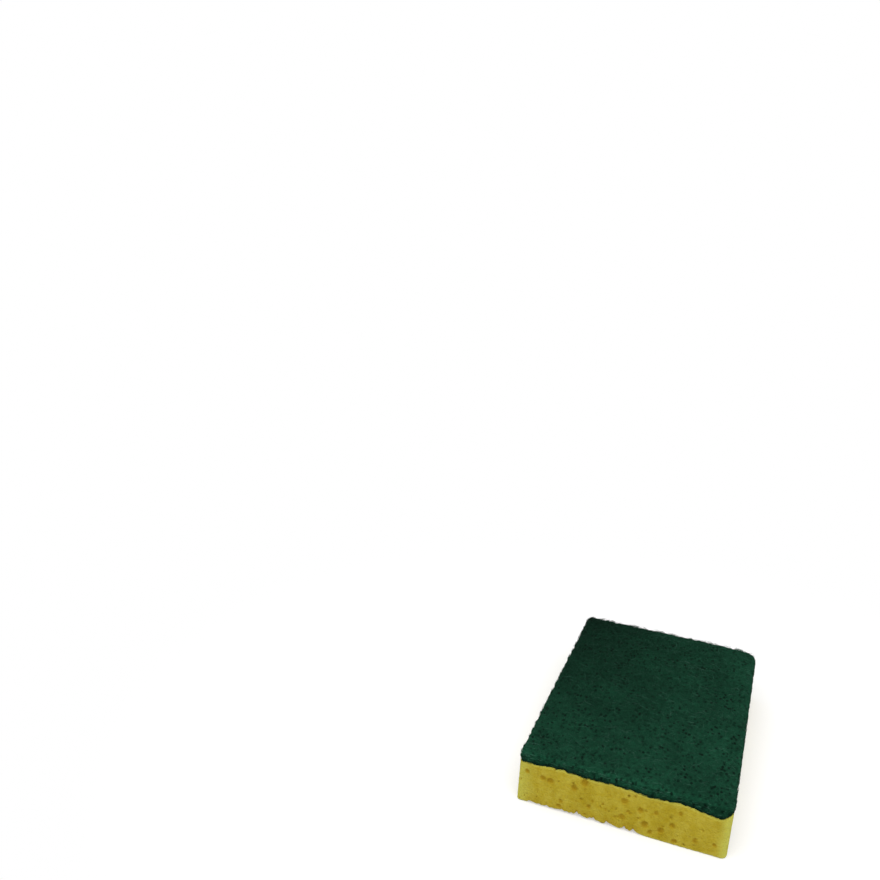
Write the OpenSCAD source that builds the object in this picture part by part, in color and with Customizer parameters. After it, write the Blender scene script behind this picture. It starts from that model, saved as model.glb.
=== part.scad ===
// Cleaning sponge: an open-cell foam block with a scouring pad bonded to its upper face.
// Millimetres. X runs across the sponge, Y along it, Z up through the pad.
// The origin is the centre of the underside.

/* [Foam block] */
// Width of the foam, across the sponge
width = 100; // [70:1:130]
// Length of the foam, along the sponge
length = 150; // [100:1:180]
// Thickness of the foam, from the underside to the top of the bond line
foam_t = 23.5; // [15:0.5:45]
// Corner radius of the foam, seen from above
foam_corner_r = 3; // [1:0.5:6]

/* [Scouring pad] */
// Thickness of the pad, from the top of the bond line to its highest tuft
pad_t = 4.8; // [3:0.1:10]
// Radius of the pad's three worn corners, seen from above
worn_corner_r = 4.5; // [1:0.5:8]
// Radius of its crisp corner, the near left one
crisp_corner_r = 2.2; // [1:0.1:8]
// Distance that the pad's cut sides stand back from the foam's
pad_setback = 0.2; // [0.1:0.1:1.5]
// Height of the tufts on the pad's face
tuft_h = 0.5; // [0:0.05:1]
// Distance from one tuft to the next
tuft_pitch = 3.5; // [3:0.5:10]
// Height that the pad's face falls at its cut edges
edge_drop = 1.2; // [0:0.1:1.5]
// Width of the band in which the face falls
edge_band = 3; // [1:0.5:5]
// Height that the pad's far right corner hangs below the others
droop_h = 1; // [0:0.1:2]
// Distance from that corner at which the pad is level again
droop_reach = 14; // [5:1:40]

/* [Bond line] */
// Rise and fall of the line where foam and pad meet
bond_wave_h = 1.5; // [0:0.05:2]
// Length of one wave of that line
bond_wave_l = 27; // [20:1:80]
// Height that the pad laps down over the foam at the right of the near edge
lap_h = 1.5; // [0:0.1:2.5]
// Distance of that lap's middle from the right side
lap_inset = 8; // [4:0.5:20]
// Distance over which the lap dies away
lap_reach = 10; // [8:0.5:20]

/* [Foam pits] */
// Distance between neighbouring pits
pit_pitch = 6.4; // [5.5:0.1:12]
// Radius of the smallest pit
pit_r_min = 0.6; // [0.4:0.05:1]
// Radius of the largest pit
pit_r_max = 2.2; // [1.2:0.05:2.3]
// Share of the places in the pattern that hold a pit
pit_share = 0.75; // [0.1:0.05:1]
// Bare band along the foam's edges, where the faces have no pits
pit_margin = 2.5; // [2:0.1:6]
// Distance between the bites that open pits take out of the lower edges
bite_pitch = 5; // [4:0.1:12]
// Radius of the largest bite
bite_r_max = 1.6; // [0.8:0.05:1.8]

/* [Hidden] */

// Facets of the round corners, and of a pit
corner_fn = 48;
pit_fn = 14;
// Height of the two pieces together
total_t = foam_t + pad_t;
// Corner radii of the pad: near right, far right, far left, near left
pad_corners = [worn_corner_r, worn_corner_r, worn_corner_r, crisp_corner_r];
// How far a cutting shape reaches past the block
overhang = 2;

foam_block();
scouring_pad();

// The two pieces

module foam_block() {
    color([0.84, 0.76, 0.27])
    intersection() {
        difference() {
            rounded_slab(width, length, [for (i = [0:3]) foam_corner_r], foam_t + overhang);
            pits_on_sides();
            pits_on_underside();
            bites_along_lower_edges();
        }
        under_bond_line();
    }
}

module scouring_pad() {
    color([0.09, 0.24, 0.17])
    difference() {
        intersection() {
            rounded_slab(
                width - 2 * pad_setback, length - 2 * pad_setback, pad_corners, total_t + overhang
            );
            under_pad_face();
        }
        under_bond_line();
    }
}

// A rectangle with true round corners, raised from the plane of the underside.
// The radii run from the near right corner, anticlockwise
module rounded_slab(w, l, radii, h) {
    signs = [[1, -1], [1, 1], [-1, 1], [-1, -1]];
    // The two points where a corner's arc starts and ends
    function ends(i) =
        let (
            level = [signs[i].x * (w / 2 - radii[i]), signs[i].y * l / 2],
            upright = [signs[i].x * w / 2, signs[i].y * (l / 2 - radii[i])]
        )
        i % 2 == 0 ? [level, upright] : [upright, level];
    linear_extrude(h) {
        polygon([for (i = [0:3]) each ends(i)]);
        for (i = [0:3])
            translate([signs[i].x * (w / 2 - radii[i]), signs[i].y * (l / 2 - radii[i])])
                circle(radii[i], $fn = corner_fn);
    }
}

// Scattered values

// A value from 0 to 1 for each whole number, the same one each time
function scatter(n) = let (s = abs(sin(n * 127.1 + 31.7)) * 43758.5453) s - floor(s);

// A value from -1 to 1, likewise
function swing(n) = 2 * scatter(n) - 1;

// The bond line and the pad's face

// Even steps between two values, none longer than pitch
function steps(from, to, pitch) =
    let (n = max(1, ceil((to - from) / pitch))) [for (i = [0:n]) from + (to - from) * i / n];

// The solid under a height z(x, y), over a grid of lines that run past the block
module under_field(xs, ys, z) {
    nx = len(xs);
    ny = len(ys);
    corner = nx * ny;
    function at(i, j) = j * nx + i;
    points = concat(
        [for (y = ys, x = xs) [x, y, z(x, y)]],
        [for (y = [ys[0], ys[ny - 1]], x = [xs[0], xs[nx - 1]]) [x, y, -overhang]]
    );
    top = [
        for (j = [0:ny - 2], i = [0:nx - 2])
            each [
                [at(i, j), at(i, j + 1), at(i + 1, j + 1)],
                [at(i, j), at(i + 1, j + 1), at(i + 1, j)]
            ]
    ];
    front = concat([corner + 1, corner], [for (i = [0:nx - 1]) at(i, 0)]);
    back = concat([corner + 2, corner + 3], [for (i = [nx - 1:-1:0]) at(i, ny - 1)]);
    left = concat([corner, corner + 2], [for (j = [ny - 1:-1:0]) at(0, j)]);
    right = concat([corner + 3, corner + 1], [for (j = [0:ny - 1]) at(nx - 1, j)]);
    bottom = [corner, corner + 1, corner + 3, corner + 2];
    polyhedron(points, concat(top, [front, back, left, right, bottom]), convexity = 4);
}

// From 0 to 1: how far the foam's sawn top lies below its highest point
function bond_wave(x, y) =
    let (
        u = 360 * x / bond_wave_l,
        v = 360 * y / bond_wave_l
    )
    0.5 + 0.3 * sin(u + 50 * sin(0.43 * v)) + 0.2 * sin(1.25 * v + 0.55 * u);

// From 0 to 1: the nearness of a point to a place, with level ends
function nearness(from, to, reach) =
    let (t = max(0, 1 - norm(to - from) / reach)) t * t * (3 - 2 * t);

// How far the pad laps down over the foam's edge
function lap(x, y) = lap_h * nearness([x, y], [width / 2 - lap_inset, -length / 2], lap_reach);

module under_bond_line() {
    grid = bond_wave_l / 6;
    under_field(
        steps(-width / 2 - overhang, width / 2 + overhang, grid),
        steps(-length / 2 - overhang, length / 2 + overhang, grid),
        function (x, y) foam_t - bond_wave_h * bond_wave(x, y) - lap(x, y)
    );
}

// Grid lines across the pad: close together in the edge bands, one for each tuft between them
function pad_lines(half) =
    let (
        band = [for (share = [0, 0.15, 0.4, 0.7]) half - share * edge_band],
        flat = steps(edge_band - half, half - edge_band, tuft_pitch)
    )
    concat(
        [-half - overhang], [for (b = band) -b], flat,
        [for (i = [len(band) - 1:-1:0]) band[i]], [half + overhang]
    );

// The rounding of the pad's cut edge: 0 at the edge, 1 from the inner side of the band on
function rounding(distance) =
    let (t = max(0, min(1, distance / edge_band))) sqrt(t * (2 - t));

// How far the pad's face hangs near its far right corner
function droop(x, y) = droop_h * nearness([x, y], [width / 2, length / 2], droop_reach);

module under_pad_face() {
    half_w = width / 2 - pad_setback;
    half_l = length / 2 - pad_setback;
    function tuft(x, y) = scatter(round(x * 7) + 613 * round(y * 7));
    under_field(
        pad_lines(half_w),
        pad_lines(half_l),
        function (x, y)
            total_t
            - tuft_h * tuft(x, y)
            - edge_drop * (1 - rounding(half_w - abs(x)) * rounding(half_l - abs(y)))
            - droop(x, y)
    );
}

// Pits and bites

// One pit, cut open by a face that looks along +Z. A large one has a lobe beside it
module pit(r, sink, turn) {
    lobe_from = 0.6 * pit_r_max;
    translate([0, 0, -sink * r]) sphere(r, $fn = pit_fn);
    if (r > lobe_from)
        rotate(turn) translate([0.8 * r, 0, -0.1 * r]) sphere(0.6 * r, $fn = pit_fn);
}

// Pits scattered over a face of w by h that looks along +Z, each inside its own place
module pit_field(w, h, seed) {
    nx = floor(w / pit_pitch);
    ny = floor(h / pit_pitch);
    place = [w / nx, h / ny];
    for (i = [0:nx - 1], j = [0:ny - 1]) {
        n = seed + 10 * (i + nx * j);
        r = pit_r_min + (pit_r_max - pit_r_min) * pow(scatter(n), 3);
        room = max(0, pit_pitch / 2 - r - 0.2);
        if (scatter(n + 1) < pit_share)
            translate([
                (i + 0.5) * place.x - w / 2 + room * swing(n + 2),
                (j + 0.5) * place.y - h / 2 + room * swing(n + 3)
            ])
                pit(r, 0.7 * scatter(n + 4) - 0.3, 360 * scatter(n + 5));
    }
}

// Turns a shape at the near side to each of the four sides, with that side's length and distance
module on_each_side() {
    for ($side = [0:3]) {
        crosswise = $side % 2 == 0;
        $across = crosswise ? width : length;
        $out = (crosswise ? length : width) / 2;
        rotate(90 * $side) children();
    }
}

module pits_on_sides() {
    high = foam_t - bond_wave_h - lap_h / 2;
    on_each_side()
        translate([0, -$out, (pit_margin + high) / 2])
            rotate([90, 0, 0])
                pit_field($across - 2 * pit_margin, high - pit_margin, 5000 * ($side + 1));
}

module pits_on_underside() {
    rotate([180, 0, 0]) pit_field(width - 2 * pit_margin, length - 2 * pit_margin, 40000);
}

module bites_along_lower_edges() {
    on_each_side() {
        across = $across - 4 * foam_corner_r;
        n = floor(across / bite_pitch);
        for (i = [0:n - 1]) {
            k = 70000 + 1000 * $side + 10 * i;
            r = bite_r_max * (0.35 + 0.65 * scatter(k));
            translate([
                (i + 0.5) * across / n - across / 2 + (bite_pitch / 2 - r) * swing(k + 1),
                0.3 * r * swing(k + 2) - $out,
                0.3 * r * swing(k + 3)
            ])
                sphere(r, $fn = pit_fn);
        }
    }
}
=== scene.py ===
import itertools
import math

import bpy
import numpy as np
from mathutils import Matrix, Vector, kdtree
from mathutils.geometry import delaunay_2d_cdt


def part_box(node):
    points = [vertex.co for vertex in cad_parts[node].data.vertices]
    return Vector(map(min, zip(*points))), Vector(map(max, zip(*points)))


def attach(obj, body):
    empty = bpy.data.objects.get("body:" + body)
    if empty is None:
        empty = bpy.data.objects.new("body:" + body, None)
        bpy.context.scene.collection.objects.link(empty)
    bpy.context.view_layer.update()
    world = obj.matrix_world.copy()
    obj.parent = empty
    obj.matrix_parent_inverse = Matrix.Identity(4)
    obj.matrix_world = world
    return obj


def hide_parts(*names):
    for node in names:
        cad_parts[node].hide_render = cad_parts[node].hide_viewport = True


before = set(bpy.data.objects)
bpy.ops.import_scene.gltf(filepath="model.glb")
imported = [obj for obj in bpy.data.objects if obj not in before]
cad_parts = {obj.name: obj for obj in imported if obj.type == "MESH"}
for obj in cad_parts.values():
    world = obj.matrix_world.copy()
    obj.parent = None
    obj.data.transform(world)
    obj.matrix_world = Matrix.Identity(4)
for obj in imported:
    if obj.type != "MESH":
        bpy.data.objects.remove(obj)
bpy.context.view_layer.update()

# The script works in millimetres and writes meshes in metres.
MM = 0.001
SEED = 4711
# Side of the table that noise repeats in, length of the one for teeth, and a number near 0
NOISE_SIDE = 48
TEETH_TABLE = 512
TINY = 1e-6

# Sizes taken from the frame
foam_low, foam_high = (np.array(corner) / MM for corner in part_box("foam_block"))
pad_low, pad_high = (np.array(corner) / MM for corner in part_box("scouring_pad"))
FOAM_HALF = (foam_high[:2] - foam_low[:2]) / 2
PAD_HALF = (pad_high[:2] - pad_low[:2]) / 2
FOAM_TOP = foam_high[2]
TOTAL_TOP = pad_high[2]

# The bond line has the solids' waves. Its lap is a little deeper and nearer the corner
BOND_WAVE_H = 1.5
BOND_WAVE_L = 27
LAP_H = 1.6
LAP_INSET = 5.8
LAP_REACH = 10
# The foam stands higher just round that corner: height, distance from the corner, and reach
CORNER_RISE_H = 2.2
CORNER_RISE_PLACE = 3.2
CORNER_RISE_REACH = 5.5
# Finer unevenness of that line: a ripple and smaller steps, each in height and length
BOND_RIPPLE_H = 1.5
BOND_RIPPLE_L = 11
BOND_RIPPLE_SEED = 460
BOND_STEP_H = 0.4
BOND_STEP_L = 3.2

# Foam
# Corner radii: near right, far right, far left and near left
FOAM_CORNER_R = (3.0, 3.0, 3.0, 1.7)
# Radius of the lower edge, and the least corner radius of an outline that is drawn in
FOAM_EDGE_R = 0.7
LEAST_CORNER_R = 0.3
# Distances between points: on the sides, on the underside and where the two pieces meet
FOAM_STEP = 0.4
UNDERSIDE_STEP = 0.95
HIDDEN_STEP = 6.0
# Bare margin inside an outline that is filled, and scatter of the points, in such distances
FILL_MARGIN = 0.6
FILL_SCATTER = 0.22
# The foam is drawn in under the pad, over this height
TOP_INSET = 0.5
TOP_INSET_H = 0.9
# Waves that the saw left
SAW_WAVE_H = 0.22
SAW_WAVE_L = 21
# Open cells: size, reach in sizes, depth, and length of the patches with deeper ones
CELL_SIZE = 1.3
CELL_REACH = 0.62
CELL_DEPTH = 0.2
CELL_PATCH_L = 9
# Scattered pits: area in mm2 for each pit, smallest and largest radius
PIT_KINDS = ((150, 0.8, 1.6), (30, 0.35, 0.75))
# How deep their centres lie, in radii, and their slant and its spread in degrees
PIT_SINK = (-0.35, 0.5)
PIT_SLANT = (80, 35)
# Ranges of a pit's three radii, in shares of its size, also for the pits placed below
PIT_SHAPE = ((1, 1.4), (0.75, 1), (0.5, 0.9))
NEAR_PIT_SHAPE = ((0.8, 1.1), (0.4, 0.6), (0.9, 1.2))
# Size of a placed pit for each millimetre of its radius, and how far its centre stands out
NEAR_PIT_GROWTH = 1.35
NEAR_PIT_OUT = 0.05
DEEPEST_PIT = 1.4
# How uneven the rims of the pits are
PIT_WARP = 0.4
PIT_WARP_L = 1.5
# How far past its rim a pit tints the foam, in radii
TINT_REACH = 1.5
# How far the cell walls between the pits stand out
FOAM_PROUD = 0.15

# Painted light for light through the thin foam at its edges: paler there, most at the near right
RIM_LIGHT_SHARE = 0.6
BRIGHTEST_RIM_LIGHT_SHARE = 0.95
RIM_LIGHT_REACH = 10.0
BRIGHTEST_RIM_LIGHT_REACH = 6.5
EDGE_LIGHT_SHARE = 0.6
EDGE_LIGHT_REACH = 1.4

# The largest pits on the near face: place across, height and radius
NEAR_PITS = [
    (-45.9, 17.8, 1.0), (-38.1, 16.5, 1.1), (-34.4, 15.9, 1.2), (-22.5, 15.7, 1.3),
    (-17.8, 20.0, 1.5), (-28.4, 6.0, 0.8), (-29.0, 2.9, 0.8), (-14.7, 7.6, 0.9),
    (-13.3, 11.3, 0.6), (-8.1, 11.3, 0.6), (-6.6, 8.7, 0.6), (1.3, 7.3, 1.1),
    (1.6, 16.1, 1.2), (3.8, 11.3, 0.6), (9.4, 13.7, 1.1), (11.9, 6.8, 1.2),
    (15.0, 3.6, 0.9), (16.6, 14.7, 1.0), (19.4, 6.0, 1.2), (24.7, 10.3, 1.0),
    (26.3, 2.2, 1.0), (27.5, 17.8, 0.8), (35.3, 5.7, 0.9), (44.0, 6.3, 0.7),
]
# The sharp notches in its torn lower edge: place across and height
NEAR_NOTCHES = [
    (-44.0, 0.9), (-35.0, 0.6), (-27.4, 1.0), (-22.4, 1.2), (-20.3, 2.3),
    (-18.4, 1.3), (-13.6, 0.9), (-11.8, 2.1), (-5.8, 1.9), (-4.4, 0.9),
    (2.8, 2.0), (4.5, 1.0), (7.0, 2.2),
]
# How far a notch reaches to its steep side and to its other side, and how fast it ends
NOTCH_W = (0.5, 1.2)
NOTCH_POWER = 1.2
# The largest notches in the other edges: height, distance apart, and half width in noise
NOTCH_H = 1.9
NOTCH_L = 4.5
NOTCH_SHARE = 0.3
# Finer unevenness of the torn edges, and their teeth: height and length of each
TORN_H = 0.8
TORN_L = 3.2
TEETH_H = 0.8
TEETH_L = 1.25
# The stretch of the near edge that is torn, how far in and up the tear reaches, over which
# length it fades at its ends, and the length of torn patches in the other edges
TORN_STRETCH = (-48, 12)
TORN_REACH = 5.0
TORN_FADE = 6
TORN_PATCH_L = 28

# Scouring pad
# Corner radii, in the same order
PAD_CORNER_R = (3.4, 7.0, 4.5, 1.5)
# Distances between points: round the outline and on the face
PAD_STEP = 0.5
PAD_TOP_STEP = 0.62
# Rings up the cut sides, and places of those over the rounded edge, in shares of its band
SIDE_RINGS = 10
BAND_SHARES = (0, 0.06, 0.2, 0.4, 0.65, 1)
# Height that the face falls at its edges, and the width of that band
EDGE_DROP = 1.2
EDGE_BAND = 3.0
# Height that the far right corner hangs, and how far in that reaches
DROOP_H = 1.0
DROOP_REACH = 14
# How far the mat's tufts stand out from its plain sides and face
PROUD = 0.25
# The mat is drawn in where it is bonded, over this height
PINCH_IN = 0.35
PINCH_H = 0.9
# Gaps between the mat's fibres: distance from one to the next, radius as a share of it, and
# depth
PORE_L = 2.3
PORE_SHARE = 0.4
PORE_DEPTH = 0.5
# Clumps of fibre, and how much more they stand out along the cut edges
CLUMP_H = 0.36
CLUMP_L = 3.6
EDGE_RAGGED = 0.7
# Finer tufts, and how much more they stand out at the left and right edges, and at the near
# and far ones
TUFT_H = 0.28
TUFT_L = 1.15
EDGE_TUFTS = (0.5, 2.0)
# Painted light and shade of the fibres at the four corners, in the same order
CORNER_LIGHT_TONES = (1.35, 1.43, 0.41, 1.55)
# Painted shade where the pad meets the foam: its tone, up to which height, over which it fades
BOND_SHADE_TONE = 0.42
BOND_SHADE_H = 0.4
BOND_SHADE_FADE = 2.2
# Painted highlight on the cut edge: how pale, how far in, from which height, over which it starts
CUT_EDGE_HIGHLIGHT_SHARE = 0.28
CUT_EDGE_HIGHLIGHT_WIDTH = 1.3
CUT_EDGE_HIGHLIGHT_H = 1.4
CUT_EDGE_HIGHLIGHT_FADE = 1.5

# Fibres: radius, points along each, and how many there are
FIBRE_R = 0.065
FIBRE_POINTS = 6
FIBRES_A_PIECE = 7600
TOP_PIECES = 3
SIDE_FIBRES = 3800
STRAY_FIBRES = 2200
# Ranges of their lengths
FACE_LENGTHS = (3.5, 9)
SIDE_LENGTHS = (2, 6)
STRAY_LENGTHS = (2.5, 6)
# How far the longest loose ends stand off the edge, and how much farther off the far one
STRAY_OFF = 0.4
FAR_STRAY_OFF = 0.8
# Distance between the places along the outline that fibres can lie at
PLACE_STEP = 0.1
# Share of the fibres that lost their coating and look pale, partly painted glints, also of the
# loose ones
BARE_SHARE = 0.05
STRAY_BARE_SHARE = 0.4

# Colours. In a pair, the darker one comes first
FOAM_COLOURS = ((0.405, 0.308, 0.016), (0.52, 0.428, 0.044))
FOAM_MOTTLING = ((0.95, 0.92, 0.66), (1.04, 1.06, 1.25))
CELL_SHADING = ((0.60, 0.50, 0.28), (1.04, 1.04, 1.06))
# Painted light at the foam's edges
RIM_LIGHT_COLOUR = (0.575, 0.575, 0.1)
# The pits' own orange, darkened in part by painted shade
PIT_TINT_AND_SHADE_COLOUR = (0.37, 0.24, 0.008)
MAT_COLOURS = ((0.0025, 0.023, 0.0115), (0.007, 0.049, 0.0245))
FIBRE_COLOURS = ((0.006, 0.0435, 0.0225), (0.0115, 0.067, 0.0358))
# Pale uncoated fibres, their grey partly a painted glint
BARE_AND_GLINT_COLOUR = (0.026, 0.062, 0.045)
# Painted shade in the gaps between the fibres
PORE_SHADE_COLOUR = (0.0018, 0.016, 0.008)
# Cells in a metre of foam, and strength of the bumps in both materials
FOAM_CELLS = 1300
BUMP_STRENGTH = 0.6

# The camera stands where the photograph's did, in millimetres and degrees
CAMERA_PLACE = (40.5, -460.7, 309.7)
CAMERA_TURNED_LEFT = 20.11
CAMERA_LOOKS_DOWN = 17.84
CAMERA_ROLL = 3.25
PHOTO_SIDE = 880
FOCAL_PIXELS = 953.5
SENSOR = 36

# Floor: half its side, its grey, how much it is lifted for the camera, and the distances in
# metres from the object at which it starts to fade to white and is white
FLOOR_HALF = 1200
FLOOR_GREY = 0.65
FLOOR_LIFT = 0.42
WHITE_FROM = 0.12
WHITE_FULL = 0.30
# Even light, and the lamp's place, side and power
WORLD_LEVEL = 0.78
LAMP_PLACE = (10, -170, 330)
LAMP_SIZE = 300
LAMP_POWER = 0.65


# Noise


def eased(t):
    """Gives an even rise from 0 to 1 level ends."""
    return t * t * (3 - 2 * t)


def value_noise(points, size, seed):
    """Smooth noise from -1 to 1 at points, with bumps about size across."""
    table = np.random.default_rng(seed).uniform(-1, 1, (NOISE_SIDE,) * 3)
    scaled = points / size
    cell = np.floor(scaled).astype(int)
    part = eased(scaled - cell)
    total = np.zeros(len(points))
    for corner in itertools.product((0, 1), repeat=3):
        weight = np.prod(np.where(corner, part, 1 - part), axis=1)
        total += weight * table[tuple((cell + corner).T % NOISE_SIDE)]
    return total


def layered_noise(points, size, seed, layers=3):
    """Noise of several sizes on each other, each half as large as the one before."""
    total = sum(value_noise(points, size / 2**i, seed + i) / 2**i for i in range(layers))
    return total / (2 - 0.5 ** (layers - 1))


def nearest_cell(points, size, seed):
    """Distance to the nearest of one scattered point per cube of size, in sizes."""
    table = np.random.default_rng(seed).random((NOISE_SIDE,) * 3 + (3,))
    scaled = points / size
    cell = np.floor(scaled).astype(int)
    nearest = np.full(len(points), np.inf)
    for step in itertools.product((-1, 0, 1), repeat=3):
        at = cell + step
        centre = at + table[tuple(at.T % NOISE_SIDE)]
        nearest = np.minimum(nearest, np.linalg.norm(scaled - centre, axis=1))
    return nearest


# Outlines and meshes


def rounded_outline(half, radii, step, inset=0.0):
    """Points and outward normals round a rectangle with round corners.

    They run anticlockwise from the near right corner. An inset draws the outline in and keeps
    the number of its points."""
    corners = [(1, -1), (1, 1), (-1, 1), (-1, -1)]
    inner = [max(radius - inset, LEAST_CORNER_R) for radius in radii]
    centres = [np.array(corner) * (half - inset - r) for corner, r in zip(corners, inner)]
    points, normals = [], []
    for i, centre in enumerate(centres):
        following = (i + 1) % 4
        n = max(4, round(radii[i] * math.pi / 2 / step))
        for a in np.radians(90 * (i - 1 + np.arange(n) / n)):
            normals.append((math.cos(a), math.sin(a)))
            points.append(centre + inner[i] * np.array(normals[-1]))
        normal = np.round([math.cos(math.radians(90 * i)), math.sin(math.radians(90 * i))])
        first = centre + inner[i] * normal
        last = centres[following] + inner[following] * normal
        n = max(1, round((2 * half[following % 2] - radii[i] - radii[following]) / step))
        for t in np.arange(n) / n:
            points.append(first + t * (last - first))
            normals.append(tuple(normal))
    return np.array(points), np.array(normals)


def raised(xy, z):
    """Points in space from points in a plane and one height, or one for each."""
    return np.column_stack([xy, np.broadcast_to(z, len(xy))])


def ring_quads(rings, count):
    """Quads between rings of count points each, the first ring lowest."""
    i = np.arange(count)
    j = (i + 1) % count
    rows = np.arange(rings - 1)[:, None] * count
    return np.stack([rows + i, rows + j, rows + count + j, rows + count + i], -1).reshape(-1, 4)


def filled(outline, step, rng):
    """Scattered points inside an outline, and the triangles that fill it, facing up."""
    low, high = outline.min(0) + FILL_MARGIN * step, outline.max(0) - FILL_MARGIN * step
    nx, ny = (np.maximum(1, np.round((high - low) / step))).astype(int)
    xs, ys = np.linspace(low[0], high[0], nx), np.linspace(low[1], high[1], ny)
    scatter = rng.uniform(-FILL_SCATTER, FILL_SCATTER, (nx * ny, 2)) * step
    grid = np.stack(np.meshgrid(xs, ys), -1).reshape(-1, 2) + scatter
    # The corners of the outline are round, so the grid's are cut off
    radius = min(high - low) / 12
    beyond = np.maximum(np.abs(grid) - (high - radius), 0)
    grid = grid[np.linalg.norm(beyond, axis=1) < radius]
    points = [Vector(p) for p in np.vstack([outline, grid])]
    count = len(outline)
    edges = [(i, (i + 1) % count) for i in range(count)]
    _, _, faces, sources, _, _ = delaunay_2d_cdt(points, edges, [], 1, TINY)
    source = np.array([s[0] for s in sources])
    return grid, source[np.array(faces)]


def with_flats(rows, directions, flats):
    """Points and outward directions of rings with flats added, and each flat's triangles.

    A flat is its inner points, their direction, its triangles and the ring that it closes."""
    count = rows.shape[1]
    points, away, faces = [rows.reshape(-1, 3)], [directions.reshape(-1, 3)], []
    first = len(points[0])
    for inner, way, triangles, ring in flats:
        on_ring, inside = triangles + ring * count, triangles - count + first
        faces.append(np.where(triangles < count, on_ring, inside))
        points.append(inner)
        away.append(np.tile(way, (len(inner), 1)))
        first += len(inner)
    return np.vstack(points), np.vstack(away), faces


def build_object(name, points, quads, triangles, material, smooth=True):
    """A mesh object from points in millimetres."""
    loops = np.concatenate([np.ravel(quads), np.ravel(triangles)]).astype(np.int32)
    sizes = np.repeat([4, 3], [len(quads), len(triangles)])
    mesh = bpy.data.meshes.new(name)
    mesh.vertices.add(len(points))
    mesh.vertices.foreach_set("co", (points * MM).astype(np.float32).ravel())
    mesh.loops.add(len(loops))
    mesh.loops.foreach_set("vertex_index", loops)
    mesh.polygons.add(len(sizes))
    mesh.polygons.foreach_set("loop_start", (np.cumsum(sizes) - sizes).astype(np.int32))
    mesh.update(calc_edges=True)
    mesh.validate()
    if smooth:
        mesh.shade_smooth()
    mesh.materials.append(material)
    piece = bpy.data.objects.new(name, mesh)
    bpy.context.scene.collection.objects.link(piece)
    return piece


def set_values(piece, name, values):
    """Keeps one number for each vertex, for the material to read."""
    attribute = piece.data.attributes.new(name, "FLOAT", "POINT")
    attribute.data.foreach_set("value", values.astype(np.float32))


# Heights that the two pieces share


def nearness(xy, place, reach):
    """From 0 to 1: how near points lie to a place, with level ends."""
    return eased(np.clip(1 - np.linalg.norm(xy - np.array(place), axis=1) / reach, 0, 1))


def bond_height(xy):
    """Height of the line where foam and fibre meet. Its wave is the one in the source."""
    u = 2 * math.pi * xy[:, 0] / BOND_WAVE_L
    v = 2 * math.pi * xy[:, 1] / BOND_WAVE_L
    wave = 0.5 + 0.3 * np.sin(u + math.radians(50) * np.sin(0.43 * v))
    wave += 0.2 * np.sin(1.25 * v + 0.55 * u)
    right, near = FOAM_HALF[0], -FOAM_HALF[1]
    lap = LAP_H * nearness(xy, (right - LAP_INSET, near), LAP_REACH)
    lap -= CORNER_RISE_H * nearness(xy, (right, near + CORNER_RISE_PLACE), CORNER_RISE_REACH)
    flat = raised(xy, 0)
    ripple = layered_noise(flat, BOND_RIPPLE_L, BOND_RIPPLE_SEED, 2)
    step = BOND_STEP_H * value_noise(flat, BOND_STEP_L, BOND_RIPPLE_SEED + 5)
    return FOAM_TOP - BOND_WAVE_H * wave - lap - 0.5 * BOND_RIPPLE_H * ripple - step


# Foam


def drawn(ranges, rng):
    """One random value from each range, in their order."""
    return np.array([rng.uniform(least, most) for least, most in ranges])


def scattered_pits(rng):
    """Pits over the sides and the underside: centre, three axes and three radii of each."""
    width, length = 2 * FOAM_HALF
    faces = [
        # centre, first way and its length, second way and its length, normal
        ((0, -length / 2, FOAM_TOP / 2), (1, 0, 0), width, (0, 0, 1), FOAM_TOP, (0, -1, 0)),
        ((0, length / 2, FOAM_TOP / 2), (1, 0, 0), width, (0, 0, 1), FOAM_TOP, (0, 1, 0)),
        ((-width / 2, 0, FOAM_TOP / 2), (0, 1, 0), length, (0, 0, 1), FOAM_TOP, (-1, 0, 0)),
        ((width / 2, 0, FOAM_TOP / 2), (0, 1, 0), length, (0, 0, 1), FOAM_TOP, (1, 0, 0)),
        ((0, 0, 0), (1, 0, 0), width, (0, 1, 0), length, (0, 0, -1)),
    ]
    for x, z, radius in NEAR_PITS:
        radii = NEAR_PIT_GROWTH * radius * drawn(NEAR_PIT_SHAPE, rng)
        yield np.array([x, -NEAR_PIT_OUT * radius - length / 2, z]), np.eye(3), radii
    for centre, way_u, size_u, way_v, size_v, normal in faces:
        centre, way_u, way_v, normal = (np.array(v, float) for v in (centre, way_u, way_v, normal))
        # The near face has its large pits by now
        for area, least, most in PIT_KINDS[1:] if normal[1] < 0 else PIT_KINDS:
            for _ in range(round(size_u * size_v / area)):
                radius = least + (most - least) * rng.random() ** 2
                u, v = rng.uniform(-0.5, 0.5, 2) * (size_u, size_v)
                sink = rng.uniform(*PIT_SINK) * radius
                slant = math.radians(rng.normal(*PIT_SLANT))
                long_way = math.cos(slant) * way_u + math.sin(slant) * way_v
                short_way = -math.sin(slant) * way_u + math.cos(slant) * way_v
                turned = np.array([long_way, short_way, normal])
                radii = radius * drawn(PIT_SHAPE, rng)
                yield centre + u * way_u + v * way_v - sink * normal, turned, radii


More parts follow.
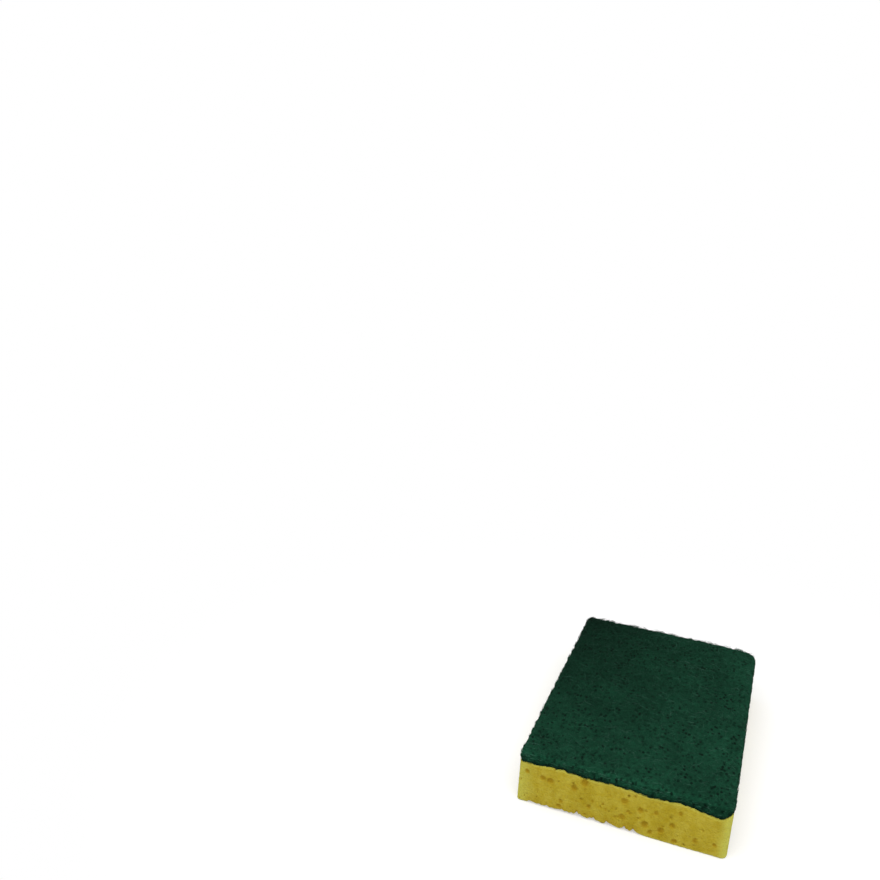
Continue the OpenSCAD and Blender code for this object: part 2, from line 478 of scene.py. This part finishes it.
def sunk_by_pits(points, normals, rng):
    """How far each point moves in to the wall of its pit, and from 0 to 1 how pits tint it."""
    warp = [layered_noise(points, PIT_WARP_L, SEED + 5 + i, 2) for i in range(3)]
    points = points + PIT_WARP * np.column_stack(warp)
    tree = kdtree.KDTree(len(points))
    for i, p in enumerate(points):
        tree.insert(p, i)
    tree.balance()
    depth, tint = np.zeros(len(points)), np.zeros(len(points))
    for centre, turned, radii in scattered_pits(rng):
        near = [i for _, i, _ in tree.find_range(centre, TINT_REACH * radii.max())]
        if not near:
            continue
        start = (points[near] - centre) @ turned.T / radii
        way = -normals[near] @ turned.T / radii
        a = (way**2).sum(1)
        b = (start * way).sum(1)
        c = (start**2).sum(1) - 1
        root = b * b - a * c
        inside = (c < 0) & (root > 0)
        out = np.where(inside, (-b + np.sqrt(np.maximum(root, 0))) / a, 0)
        depth[near] = np.maximum(depth[near], out)
        t = np.clip((TINT_REACH - np.sqrt(c + 1)) / (TINT_REACH - 0.5), 0, 1)
        tint[near] = np.maximum(tint[near], min(1, radii.max()) * eased(t))
    return np.minimum(depth, DEEPEST_PIT), tint


def torn_window(side, along):
    """From 0 to 1: how torn the lower edge is at places along a side, the near side first."""
    x = along[:, 0]
    if side == 0:
        first, last = TORN_STRETCH
        return np.clip((x - first) / TORN_FADE, 0, 1) * np.clip((last - x) / TORN_FADE, 0, 1)
    half = FOAM_HALF[side % 2]
    patchy = np.clip(0.5 + 2.2 * value_noise(along, TORN_PATCH_L, SEED + 8), 0.1, 1)
    return patchy * np.clip((half - 4 - np.abs(x)) / TORN_FADE, 0, 1)


def teeth(along, pitch, seed):
    """Uneven teeth with straight sides along a line, from 0 to 1."""
    table = np.random.default_rng(seed).random(TEETH_TABLE)
    cell = np.floor(along / pitch).astype(int)
    part = along / pitch - cell
    return (1 - part) * table[cell % TEETH_TABLE] + part * table[(cell + 1) % TEETH_TABLE]


def torn_edge_lift(points):
    """How far the torn lower edges stand up from the floor."""
    lift = np.zeros(len(points))
    for side, (axis, sign) in enumerate([(0, -1), (1, 1), (0, 1), (1, -1)]):
        place = points[:, axis]
        # Each side reads its own lines of the noise and of the teeth
        along = np.column_stack([place, np.full(len(points), 40.0 * side), np.zeros(len(points))])
        window = torn_window(side, along)
        torn = TORN_H * window * np.clip(0.35 + 1.1 * layered_noise(along, TORN_L, SEED + 7), 0, 1)
        if side == 0:
            for i, (x, height) in enumerate(NEAR_NOTCHES):
                width = np.where((place < x) == (i % 2 == 0), *NOTCH_W)
                fall = (np.abs(place - x) / width) ** NOTCH_POWER
                torn = np.maximum(torn, height * np.exp(-fall))
        else:
            notch = np.abs(value_noise(along, NOTCH_L, SEED + 9)) / NOTCH_SHARE
            notch = np.clip(1 - notch, 0, 1)
            torn = np.maximum(torn, NOTCH_H * window * notch)
        torn += TEETH_H * window * teeth(place + 200 * side, TEETH_L, SEED + 12)
        inward = FOAM_HALF[1 - axis] - sign * points[:, 1 - axis]
        lift = np.maximum(lift, torn * np.clip(1 - inward / TORN_REACH, 0, 1))
    return lift * np.clip(1 - points[:, 2] / TORN_REACH, 0, 1)


def foam_rows(outline, normals):
    """Rings of points and directions, from the underside's rim up to the bond line."""
    rows, directions = [], []
    top = bond_height(outline)
    arc = 4
    for i in range(arc):
        a = math.pi / 2 * i / arc
        inset = FOAM_EDGE_R * (1 - math.sin(a))
        z = FOAM_EDGE_R * (1 - math.cos(a))
        rows.append(raised(outline - inset * normals, z))
        directions.append(raised(math.sin(a) * normals, -math.cos(a)))
    n = round((FOAM_TOP - FOAM_EDGE_R) / FOAM_STEP)
    for i in range(n + 1):
        z = FOAM_EDGE_R + (top - FOAM_EDGE_R) * i / n
        inset = TOP_INSET * np.clip(1 - (top - z) / TOP_INSET_H, 0, 1) ** 2
        rows.append(raised(outline - inset[:, None] * normals, z))
        directions.append(raised(normals, 0))
    return np.array(rows), np.array(directions)


def cell_depth(points):
    """Depth of the foam's open cells."""
    cells = np.maximum(0, 1 - (nearest_cell(points, CELL_SIZE, SEED + 1) / CELL_REACH) ** 2)
    patchy = 0.65 + 0.5 * layered_noise(points, CELL_PATCH_L, SEED + 2)
    return CELL_DEPTH * cells * patchy


def painted_rim_light(points, away):
    """From 0 to 1: painted light on the foam, at its upright corners and its level edges."""
    to_corner = np.linalg.norm(FOAM_HALF - np.abs(points[:, :2]), axis=1)
    near_right = (points[:, 0] > 0) & (points[:, 1] < 0)
    blotchy = 1 + 0.35 * layered_noise(points, 6, SEED + 4, 2)
    reach = np.where(near_right, BRIGHTEST_RIM_LIGHT_REACH, RIM_LIGHT_REACH) * blotchy
    corner_share = eased(np.clip(1 - to_corner / reach, 0, 1))
    upright_rim_light = np.where(near_right, BRIGHTEST_RIM_LIGHT_SHARE, RIM_LIGHT_SHARE) * corner_share
    to_edge = np.minimum(points[:, 2], bond_height(points[:, :2]) - points[:, 2])
    on_side = np.abs(away[:, 2]) < 0.9
    level_rim_light = EDGE_LIGHT_SHARE * np.clip(1 - to_edge / EDGE_LIGHT_REACH, 0, 1) * on_side
    return np.maximum(upright_rim_light, level_rim_light)


def make_foam(material):
    """The sawn block, with its pits, its cells and its torn lower edges."""
    rng = np.random.default_rng(SEED)
    outline, normals = rounded_outline(FOAM_HALF, FOAM_CORNER_R, FOAM_STEP)
    rows, directions = foam_rows(outline, normals)
    under, under_faces = filled(rows[0][:, :2], UNDERSIDE_STEP, rng)
    over, over_faces = filled(outline, HIDDEN_STEP, rng)
    points, away, (under_faces, over_faces) = with_flats(rows, directions, [
        (raised(under, 0), (0, 0, -1), under_faces, 0),
        (raised(over, bond_height(over)), (0, 0, 0), over_faces, len(rows) - 1),
    ])
    pits, tint = sunk_by_pits(points, away, rng)
    fine = cell_depth(points)
    sawn = SAW_WAVE_H * layered_noise(points, SAW_WAVE_L, SEED + 3, 2)
    depth = pits + fine + sawn - FOAM_PROUD * (1 + away[:, 2])
    torn = torn_edge_lift(points)
    moved = points - depth[:, None] * away
    moved[:, 2] = np.maximum(0, moved[:, 2] + torn)
    piece = build_object(
        "foam_sawn_block", moved, ring_quads(len(rows), len(outline)),
        np.vstack([under_faces[:, ::-1], over_faces]), material,
    )
    # Pits' own orange tint, plus painted shade in deep pits, open cells and the torn lower edge
    pit_tint_and_shade = np.clip(0.9 * tint + 0.2 * pits + 0.35 * fine + 0.5 * torn, 0, 1)
    # The last ring and the top lie under the pad
    on_sides = rows.shape[0] * rows.shape[1]
    pit_tint_and_shade[on_sides - len(outline):on_sides] = 0
    pit_tint_and_shade[len(points) - len(over):] = 0
    set_values(piece, "pit_tint_and_shade", pit_tint_and_shade)
    # Painted light at the foam's upright corners and level edges
    set_values(piece, "rim", painted_rim_light(points, away))
    return piece


# Scouring pad


def rounding(distance):
    """The rounding of the pad's cut edge: 0 at the edge, 1 from the inner side of the band on."""
    t = np.clip(distance / EDGE_BAND, 0, 1)
    return np.sqrt(t * (2 - t))


def pad_height(xy):
    """Height of the pad's face before its tufts."""
    inward = PAD_HALF - np.abs(xy)
    drop = EDGE_DROP * (1 - rounding(inward[:, 0]) * rounding(inward[:, 1]))
    return TOTAL_TOP - drop - DROOP_H * nearness(xy, FOAM_HALF, DROOP_REACH)


def pad_rows(outline, normals):
    """Rings from the bond line up the cut sides and over the rounded edge."""
    rows, directions = [], []
    bottom = bond_height(outline)
    rim = pad_height(outline)
    for i in range(SIDE_RINGS):
        z = bottom + (rim - bottom) * i / SIDE_RINGS
        inset = PINCH_IN * np.exp(-(((z - bottom) / PINCH_H) ** 2))
        rows.append(raised(outline - inset[:, None] * normals, z))
        directions.append(raised(normals, 0))
    for share in BAND_SHARES:
        xy, _ = rounded_outline(PAD_HALF, PAD_CORNER_R, PAD_STEP, share * EDGE_BAND)
        lean = math.sqrt(1 - share)
        rows.append(raised(xy, pad_height(xy)))
        directions.append(raised(lean * normals, math.sqrt(1 - lean * lean)))
    return np.array(rows), np.array(directions)


def tufts(points):
    """Unevenness of the fibre mat, most along its cut edges."""
    flat = points * (1, 1, 1.6)
    cut = np.clip(1 - (PAD_HALF - np.abs(points[:, :2])) / EDGE_BAND, 0, 1)
    clumps = CLUMP_H * (1 + EDGE_RAGGED * cut.max(1)) * layered_noise(flat, CLUMP_L, SEED + 11)
    fine = TUFT_H * (1 + (EDGE_TUFTS * cut).max(1)) * layered_noise(flat, TUFT_L, SEED + 15, 2)
    return clumps + fine


def pores(points):
    """From 0 to 1: how far a point lies in one of the gaps between the fibres."""
    squashed = points * (1, 0.7, 0.6)
    patchy = 0.6 + 0.9 * layered_noise(squashed, 5, SEED + 18, 2)
    share = 1 - nearest_cell(squashed, PORE_L, SEED + 17) / PORE_SHARE
    return eased(np.clip(2.2 * patchy * share, 0, 1))


def painted_edge_highlight(points):
    """From 0 to 1: a painted highlight along the upper part of the cut edge."""
    inward = (PAD_HALF - np.abs(points[:, :2])).min(1)
    above = points[:, 2] - bond_height(points[:, :2])
    patchy = np.clip(0.45 + 0.9 * layered_noise(points, 4.5, SEED + 62, 2), 0, 1)
    high = np.clip((above - CUT_EDGE_HIGHLIGHT_H) / CUT_EDGE_HIGHLIGHT_FADE, 0, 1)
    return np.clip(1 - inward / CUT_EDGE_HIGHLIGHT_WIDTH, 0, 1) * high * patchy


def shade(points):
    """Fibre tone with painted light and shade: darkest at the far left and along the bond line."""
    left = 0.5 - points[:, 0] / (2 * PAD_HALF[0])
    far = np.sqrt(np.maximum(0, 0.5 + points[:, 1] / (2 * PAD_HALF[1])))
    uneven = layered_noise(points * (1, 1, 0.3), 26, SEED + 60, 2)
    mottled = layered_noise(points, 1.8, SEED + 64, 2)
    above = points[:, 2] - bond_height(points[:, :2])
    # Painted shade along the bond line
    unshaded = eased(np.clip((above - BOND_SHADE_H) / BOND_SHADE_FADE, 0, 1))
    bond_shade = BOND_SHADE_TONE + (1 - BOND_SHADE_TONE) * unshaded
    # Painted light and shade across the pad, darkest at the far left
    near_right, far_right, far_left, near_left = CORNER_LIGHT_TONES
    across_near = near_right + (near_left - near_right) * left
    across_far = far_right + (far_left - far_right) * left
    tone = across_near + (across_far - across_near) * far + 0.1 * uneven + 0.08 * mottled
    # Painted highlight on the cut edge
    return np.maximum(0.3, tone) * bond_shade * (1 + CUT_EDGE_HIGHLIGHT_SHARE * painted_edge_highlight(points))


def make_pad(material):
    """The felted mat, with its tufts and the gaps between its fibres."""
    rng = np.random.default_rng(SEED + 20)
    outline, normals = rounded_outline(PAD_HALF, PAD_CORNER_R, PAD_STEP)
    rows, directions = pad_rows(outline, normals)
    face, face_triangles = filled(rows[-1][:, :2], PAD_TOP_STEP, rng)
    under, under_triangles = filled(outline, HIDDEN_STEP, rng)
    points, away, (face_triangles, under_triangles) = with_flats(rows, directions, [
        (raised(face, pad_height(face)), (0, 0, 1), face_triangles, len(rows) - 1),
        (raised(under, bond_height(under)), (0, 0, 0), under_triangles, 0),
    ])
    gaps = pores(points)
    moved = points + (PROUD + tufts(points) - PORE_DEPTH * gaps)[:, None] * away
    piece = build_object(
        "pad_felted_mat", moved, ring_quads(len(rows), len(outline)),
        np.vstack([face_triangles, under_triangles[:, ::-1]]), material,
    )
    # Painted shade in the gaps
    set_values(piece, "pore_shade", gaps)
    # The tone holds painted light and shade, and the fibres' own uneven tone
    set_values(piece, "tone", shade(points))
    return piece


# Fibres


def tubes(name, lines, radii, looks, material):
    """One object of thin three-sided tubes along lines, each drawn to a point at both ends."""
    count, points = lines.shape[:2]
    along = np.gradient(lines, axis=1)
    along /= np.linalg.norm(along, axis=2, keepdims=True)
    side = np.cross(along, (0.13, 0.21, 0.97))
    side /= np.linalg.norm(side, axis=2, keepdims=True)
    up = np.cross(side, along)
    inner, side, up = lines[:, 1:-1], side[:, 1:-1], up[:, 1:-1]
    rings = []
    for a in np.radians([90, 210, 330]):
        rings.append(inner + radii[:, None, None] * (math.cos(a) * side + math.sin(a) * up))
    rings = np.stack(rings, 2)
    vertices = np.concatenate([lines[:, :1], rings.reshape(count, -1, 3), lines[:, -1:]], 1)
    flat = vertices.reshape(-1, 3)
    size = vertices.shape[1]
    base = 1 + 3 * np.arange(points - 3)[:, None]
    k, following = np.arange(3), (np.arange(3) + 1) % 3
    quads = np.stack([base + k, base + 3 + k, base + 3 + following, base + following], -1)
    quads = quads.reshape(-1, 4)
    last = size - 4
    ends = np.concatenate([
        np.stack([np.zeros(3, int), 1 + k, 1 + following], -1),
        np.stack([np.full(3, size - 1), last + following, last + k], -1),
    ])
    offset = size * np.arange(count)[:, None, None]
    piece = build_object(
        name, flat, (offset + quads).reshape(-1, 4), (offset + ends).reshape(-1, 3), material,
    )
    # Painted shade where the fibres lie over the gaps
    set_values(piece, "pore_shade", 0.75 * pores(flat))
    tones, bare_and_glint = looks
    # The tone holds painted light and shade, times each fibre's own tone
    set_values(piece, "tone", shade(flat) * np.repeat(tones, size))
    set_values(piece, "bare_and_glint", np.repeat(bare_and_glint, size))
    return piece


def fibre_looks(count, bare_share, rng):
    """A tone for each fibre, and from 0 to 1 how far it has lost its coating, partly a painted
    glint.
    """
    bare_and_glint = np.where(rng.random(count) < bare_share, rng.uniform(0.3, 1, count), 0)
    return rng.uniform(0.84, 1.12, count) + 0.9 * bare_and_glint, bare_and_glint


def wandering(count, length, bend, rng):
    """Plane curves round their own middles, with random headings, that bend as they go."""
    heading = rng.uniform(0, 2 * math.pi, (count, 1))
    curl = rng.normal(0, bend, (count, 1)) + rng.normal(0, 0.6 * bend, (count, FIBRE_POINTS))
    heading = heading + np.cumsum(curl, 1)
    step = (length / (FIBRE_POINTS - 1))[:, None, None]
    line = np.cumsum(step * np.stack([np.cos(heading), np.sin(heading)], -1), 1)
    return line - line.mean(1, keepdims=True)


def phases(count, fastest, rng):
    """Phases along each fibre of the waves that it makes."""
    start = rng.uniform(0, 2 * math.pi, (count, 1))
    return start + rng.uniform(0.6, fastest, (count, 1)) * np.arange(FIBRE_POINTS)


def corner_radius(xy):
    """Radius of the pad's corner that a point is nearest to."""
    right, far = xy[..., 0] > 0, xy[..., 1] > 0
    near_right, far_right, far_left, near_left = PAD_CORNER_R
    at_far = np.where(right, far_right, far_left)
    return np.where(far, at_far, np.where(right, near_right, near_left))


def face_fibres(name, material, rng):
    """Fibres over the pad's face, woven in and out of its tufts."""
    count = FIBRES_A_PIECE
    middle = rng.uniform(-1, 1, (count, 2)) * (PAD_HALF - 0.4)
    line = middle[:, None] + wandering(count, rng.uniform(*FACE_LENGTHS, count), 0.32, rng)
    reach = PAD_HALF + 0.35
    line = np.clip(line, -reach, reach)
    radius = corner_radius(line)[..., None]
    corner = np.maximum(np.abs(line) - (PAD_HALF - radius), 0)
    beyond = np.linalg.norm(corner, axis=2, keepdims=True)
    line -= np.sign(line) * corner * np.maximum(0, 1 - radius / np.maximum(beyond, TINY))
    flat = line.reshape(-1, 2)
    points = raised(flat, pad_height(flat))
    z = points[:, 2] + PROUD + tufts(points) - 0.5 * PORE_DEPTH * pores(points)
    phase = phases(count, 1.5, rng)
    lift = rng.normal(0.05, 0.09, (count, 1)) + 0.12 * np.sin(phase)
    lines = np.dstack([line, z.reshape(count, -1) + lift])
    radii = FIBRE_R * rng.uniform(0.7, 1.25, count)
    looks = fibre_looks(count, BARE_SHARE, rng)
    return tubes(name, lines, radii, looks, material)


def side_fibres(name, material, rng):
    """Fibres along the pad's cut sides, mostly level, with ends that stand out."""
    outline, normals = rounded_outline(PAD_HALF, PAD_CORNER_R, PLACE_STEP)
    count = SIDE_FIBRES
    run = wandering(count, rng.uniform(*SIDE_LENGTHS, count), 0.3, rng) * (1, 0.45)
    place = rng.uniform(0, len(outline), (count, 1)) + run[..., 0] / PLACE_STEP
    at = np.round(place).astype(int) % len(outline)
    low = bond_height(outline)[at]
    high = pad_height(outline)[at]
    share = rng.uniform(0.0, 1.0, (count, 1))
    z = np.clip(low + share * (high - low) + run[..., 1], low - 0.3, high + 0.25)
    flat = outline[at].reshape(-1, 2)
    bump = tufts(raised(flat, z.ravel())).reshape(count, -1)
    bump += PROUD - PINCH_IN * np.exp(-(((z - low) / PINCH_H) ** 2))
    phase = phases(count, 1.6, rng)
    out = bump + rng.normal(0.02, 0.08, (count, 1)) + 0.13 * np.sin(phase)
    xy = outline[at] + out[..., None] * normals[at]
    looks = fibre_looks(count, 1.3 * BARE_SHARE, rng)
    radii = FIBRE_R * rng.uniform(0.7, 1.2, count)
    return tubes(name, np.dstack([xy, z]), radii, looks, material)


def stray_fibres(name, material, rng):
    """Loose fibres that stand off the pad's edge in bunches, most of all at the far edge."""
    outline, normals = rounded_outline(PAD_HALF, PAD_CORNER_R, PLACE_STEP)
    count = STRAY_FIBRES
    run = wandering(count, rng.uniform(*STRAY_LENGTHS, count), 0.4, rng)
    far = np.maximum(0, normals[:, 1])
    bunched = value_noise(raised(outline, 0), 1.3, SEED + 66)
    likely = (1 + 4 * far) * np.clip(0.3 + 1.1 * bunched, 0.06, 1)
    place = rng.choice(len(outline), (count, 1), p=likely / likely.sum())
    place = place + run[..., 0] / PLACE_STEP
    at = np.round(place).astype(int) % len(outline)
    along = np.linspace(0, 1, FIBRE_POINTS) * np.ones((count, 1))
    longest = (STRAY_OFF + FAR_STRAY_OFF * far)[at[:, :1]]
    reach = 0.15 + longest * rng.random((count, 1))
    off = reach * np.sin(math.pi * along * rng.uniform(0.55, 1, (count, 1)))
    turn = rng.uniform(0.1, 1.2, (count, 1))
    base = outline[at].reshape(-1, 2) - 0.25 * normals[at].reshape(-1, 2)
    rim = pad_height(base).reshape(count, -1)
    low = bond_height(base).reshape(count, -1)
    z = rim - rng.random((count, 1)) ** 1.5 * (rim - low) + 0.4 * run[..., 1] + off * np.sin(turn)
    xy = base.reshape(count, -1, 2) + (0.3 + PROUD + off * np.cos(turn))[..., None] * normals[at]
    z = np.clip(z, low + 0.1, rim + 1.2)
    radii = FIBRE_R * rng.uniform(0.7, 1.1, count)
    looks = fibre_looks(count, STRAY_BARE_SHARE, rng)
    return tubes(name, np.dstack([xy, z]), radii, looks, material)


# Materials


def new_material(name):
    """A material and its Principled shader, with the node tree's nodes and links."""
    material = bpy.data.materials.new(name)
    material.use_nodes = True
    tree = material.node_tree
    return material, tree.nodes["Principled BSDF"], tree.nodes, tree.links


def ramp_between(nodes, links, value, low, high, colours):
    """Colours over a range of an output socket's values."""
    ramp = nodes.new("ShaderNodeValToRGB")
    stops = ramp.color_ramp.elements
    for stop, place, colour in zip(stops, (low, high), colours):
        stop.position = place
        stop.color = (*colour, 1)
    links.new(value, ramp.inputs["Fac"])
    return ramp.outputs["Color"]


def greys(*levels):
    """Grey colours."""
    return [(level, level, level) for level in levels]


def texture_node(nodes, links, kind, scale, stretch):
    """A texture in the piece's own coordinates, with scale in features per metre."""
    coordinates = nodes.new("ShaderNodeTexCoord")
    stretched = nodes.new("ShaderNodeMapping")
    stretched.inputs["Scale"].default_value = stretch
    texture = nodes.new(kind)
    texture.inputs["Scale"].default_value = scale
    links.new(coordinates.outputs["Object"], stretched.inputs["Vector"])
    links.new(stretched.outputs["Vector"], texture.inputs["Vector"])
    return texture


def noise(nodes, links, scale, detail, stretch=(1, 1, 1)):
    """Noise in the piece's own coordinates."""
    texture = texture_node(nodes, links, "ShaderNodeTexNoise", scale, stretch)
    texture.inputs["Detail"].default_value = detail
    return texture.outputs["Fac"]


def voronoi(nodes, links, scale, stretch=(1, 1, 1)):
    """Distance to the nearest of scattered points, in the piece's own coordinates."""
    return texture_node(nodes, links, "ShaderNodeTexVoronoi", scale, stretch).outputs["Distance"]


def stored(nodes, name, output="Fac"):
    """What a piece keeps for each vertex under a name."""
    attribute = nodes.new("ShaderNodeAttribute")
    attribute.attribute_name = name
    return attribute.outputs[output]


def mix_colours(nodes, links, factor, first, second, blend="MIX"):
    """A colour mix. Each input is an output socket, or a plain value."""
    mix = nodes.new("ShaderNodeMix")
    mix.data_type = "RGBA"
    mix.blend_type = blend
    # Sockets 6 and 7 are the node's two colours, and output 2 is its colour result
    inputs = (mix.inputs["Factor"], mix.inputs[6], mix.inputs[7])
    for socket, value in zip(inputs, (factor, first, second)):
        if isinstance(value, bpy.types.NodeSocket):
            links.new(value, socket)
        else:
            socket.default_value = value if isinstance(value, float) else (*value, 1)
    return mix.outputs[2]


def calculated(nodes, links, operation, first, second):
    """The result of a math node. Its second input is an output socket, or a plain number."""
    node = nodes.new("ShaderNodeMath")
    node.operation = operation
    links.new(first, node.inputs[0])
    if isinstance(second, bpy.types.NodeSocket):
        links.new(second, node.inputs[1])
    else:
        node.inputs[1].default_value = second
    return node.outputs["Value"]


def add_bump(nodes, links, shader, height, distance):
    """Bumps from an output socket, as high as a distance in millimetres."""
    bump = nodes.new("ShaderNodeBump")
    bump.inputs["Strength"].default_value = BUMP_STRENGTH
    bump.inputs["Distance"].default_value = distance * MM
    links.new(height, bump.inputs["Height"])
    links.new(bump.outputs["Normal"], shader.inputs["Normal"])


def foam_material():
    """Yellow foam, with darker orange pits, partly painted shade, and painted light at its rims.
    """
    material, shader, nodes, links = new_material("foam_open_cell")
    patches = noise(nodes, links, 120, 3, (1, 1, 0.3))
    tone = ramp_between(nodes, links, patches, 0.32, 0.7, FOAM_COLOURS)
    spots = noise(nodes, links, 420, 2)
    mottled = ramp_between(nodes, links, spots, 0.35, 0.65, FOAM_MOTTLING)
    cells = voronoi(nodes, links, FOAM_CELLS)
    shaded = ramp_between(nodes, links, cells, 0.12, 0.42, CELL_SHADING)
    colour = mix_colours(nodes, links, 1.0, tone, mottled, "MULTIPLY")
    # Painted light at the foam's edges
    colour = mix_colours(nodes, links, stored(nodes, "rim"), colour, RIM_LIGHT_COLOUR)
    colour = mix_colours(nodes, links, 0.45, colour, shaded, "MULTIPLY")
    # Pits' own orange, partly painted shade
    colour = mix_colours(nodes, links, stored(nodes, "pit_tint_and_shade"), colour, PIT_TINT_AND_SHADE_COLOUR)
    links.new(colour, shader.inputs["Base Color"])
    add_bump(nodes, links, shader, cells, 0.3)
    shader.inputs["Roughness"].default_value = 0.9
    shader.inputs["Specular IOR Level"].default_value = 0.15
    shader.inputs["Subsurface Weight"].default_value = 0.25
    shader.inputs["Subsurface Radius"].default_value = (1.0, 0.8, 0.25)
    shader.inputs["Subsurface Scale"].default_value = 1.6 * MM
    return material


def pad_material(name, colours, scale, roughness, specular):
    """Green fibre: pale uncoated fibres partly painted glints, painted shade in gaps, dark speck
    clusters.
    """
    material, shader, nodes, links = new_material(name)
    tone = ramp_between(nodes, links, noise(nodes, links, scale, 4), 0.3, 0.72, colours)
    blotches = noise(nodes, links, 45, 2)
    patches = ramp_between(nodes, links, blotches, 0.3, 0.7, greys(0.82, 1.12))
    colour = mix_colours(nodes, links, 1.0, tone, patches, "MULTIPLY")
    # Pale uncoated fibres, partly a painted glint
    colour = mix_colours(nodes, links, stored(nodes, "bare_and_glint"), colour, BARE_AND_GLINT_COLOUR)
    # The tone carries painted light and shade
    colour = mix_colours(nodes, links, 1.0, colour, stored(nodes, "tone", "Vector"), "MULTIPLY")
    # Painted shade in the gaps
    colour = mix_colours(nodes, links, stored(nodes, "pore_shade"), colour, PORE_SHADE_COLOUR)
    dots = voronoi(nodes, links, 420, (1, 0.75, 0.7))
    specks = ramp_between(nodes, links, dots, 0.22, 0.34, greys(0.16, 1.04))
    clusters = noise(nodes, links, 150, 2)
    speckled = ramp_between(nodes, links, clusters, 0.42, 0.6, greys(0, 0.9))
    darker = mix_colours(nodes, links, 1.0, colour, specks, "MULTIPLY")
    colour = mix_colours(nodes, links, speckled, colour, darker)
    links.new(colour, shader.inputs["Base Color"])
    add_bump(nodes, links, shader, noise(nodes, links, 2 * scale, 3), 0.2)
    shader.inputs["Roughness"].default_value = roughness
    shader.inputs["Specular IOR Level"].default_value = specular
    return material


# Stage


def floor_material():
    """Plain pale floor. Only the camera sees the white that it fades to away from the object."""
    material, shader, nodes, links = new_material("studio_floor")
    shader.inputs["Base Color"].default_value = (FLOOR_GREY, FLOOR_GREY, FLOOR_GREY, 1)
    shader.inputs["Roughness"].default_value = 1
    shader.inputs["Specular IOR Level"].default_value = 0
    shader.inputs["Emission Color"].default_value = (1, 1, 1, 1)
    by_camera = nodes.new("ShaderNodeLightPath").outputs["Is Camera Ray"]
    lifted = calculated(nodes, links, "MULTIPLY", by_camera, FLOOR_LIFT)
    links.new(lifted, shader.inputs["Emission Strength"])
    place = nodes.new("ShaderNodeTexCoord")
    length = nodes.new("ShaderNodeVectorMath")
    length.operation = "LENGTH"
    links.new(place.outputs["Object"], length.inputs[0])
    far = nodes.new("ShaderNodeMapRange")
    far.interpolation_type = "SMOOTHSTEP"
    far.inputs["From Min"].default_value = WHITE_FROM
    far.inputs["From Max"].default_value = WHITE_FULL
    links.new(length.outputs["Value"], far.inputs["Value"])
    seen = calculated(nodes, links, "MULTIPLY", far.outputs["Result"], by_camera)
    white = nodes.new("ShaderNodeEmission")
    mix = nodes.new("ShaderNodeMixShader")
    links.new(seen, mix.inputs["Fac"])
    links.new(shader.outputs["BSDF"], mix.inputs[1])
    links.new(white.outputs["Emission"], mix.inputs[2])
    links.new(mix.outputs["Shader"], nodes["Material Output"].inputs["Surface"])
    return material


def make_floor():
    """A level square at the height of the underside."""
    corners = FLOOR_HALF * np.array([(-1, -1, 0), (1, -1, 0), (1, 1, 0), (-1, 1, 0)], float)
    quad, no_triangles = np.array([[0, 1, 2, 3]]), np.zeros((0, 3), int)
    floor = build_object("floor", corners, quad, no_triangles, floor_material(), False)


def make_world(strength):
    """White to the camera and in reflections, and even light of a strength otherwise."""
    world = bpy.data.worlds.new("studio")
    bpy.context.scene.world = world
    world.use_nodes = True
    nodes, links = world.node_tree.nodes, world.node_tree.links
    background = nodes["Background"]
    background.inputs["Color"].default_value = (1, 1, 1, 1)
    path = nodes.new("ShaderNodeLightPath")
    seen = path.outputs["Is Camera Ray"]
    for name in ("Is Glossy Ray", "Is Transmission Ray"):
        seen = calculated(nodes, links, "MAXIMUM", seen, path.outputs[name])
    level = nodes.new("ShaderNodeMapRange")
    level.inputs["To Min"].default_value = strength
    level.inputs["To Max"].default_value = 1
    links.new(seen, level.inputs["Value"])
    links.new(level.outputs["Result"], background.inputs["Strength"])


def make_lamp(name, place, size, power):
    """A square soft lamp that points at the object."""
    lamp = bpy.data.lights.new(name, "AREA")
    lamp.size = size * MM
    lamp.energy = power
    holder = bpy.data.objects.new(name, lamp)
    holder.location = Vector(place) * MM
    holder.rotation_mode = "QUATERNION"
    holder.rotation_quaternion = (-holder.location).to_track_quat("-Z", "Y")
    holder.visible_camera = False
    bpy.context.scene.collection.objects.link(holder)


def make_camera():
    """The camera that the photograph was fitted with."""
    camera = bpy.data.cameras.new("camera")
    camera.sensor_width = SENSOR
    camera.lens = SENSOR * FOCAL_PIXELS / PHOTO_SIDE
    camera.clip_start = 10 * MM
    holder = bpy.data.objects.new("camera", camera)
    turned = Matrix.Rotation(math.radians(CAMERA_TURNED_LEFT), 4, "Z")
    tipped = Matrix.Rotation(math.radians(90 - CAMERA_LOOKS_DOWN), 4, "X")
    rolled = Matrix.Rotation(math.radians(CAMERA_ROLL), 4, "Z")
    holder.matrix_world = Matrix.Translation(Vector(CAMERA_PLACE) * MM) @ turned @ tipped @ rolled
    bpy.context.scene.collection.objects.link(holder)
    bpy.context.scene.camera = holder


# The object and its stage

foam = make_foam(foam_material())
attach(foam, "root")
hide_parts("foam_block")

mat_look = pad_material("felted_mat", MAT_COLOURS, 900, 0.9, 0.05)
fibre_look = pad_material("binder_coated_fibre", FIBRE_COLOURS, 260, 0.7, 0.08)
pad = make_pad(mat_look)
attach(pad, "root")
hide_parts("scouring_pad")

fibre_rng = np.random.default_rng(SEED + 40)
fibre_pieces = [
    face_fibres(f"pad_face_fibres_{i + 1}", fibre_look, fibre_rng) for i in range(TOP_PIECES)
]
fibre_pieces.append(side_fibres("pad_side_fibres", fibre_look, fibre_rng))
fibre_pieces.append(stray_fibres("pad_stray_fibres", fibre_look, fibre_rng))
for piece in fibre_pieces:
    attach(piece, "root")

make_floor()
make_world(WORLD_LEVEL)
make_lamp("key", LAMP_PLACE, LAMP_SIZE, LAMP_POWER)
make_camera()
bpy.context.scene.view_settings.view_transform = "Standard"
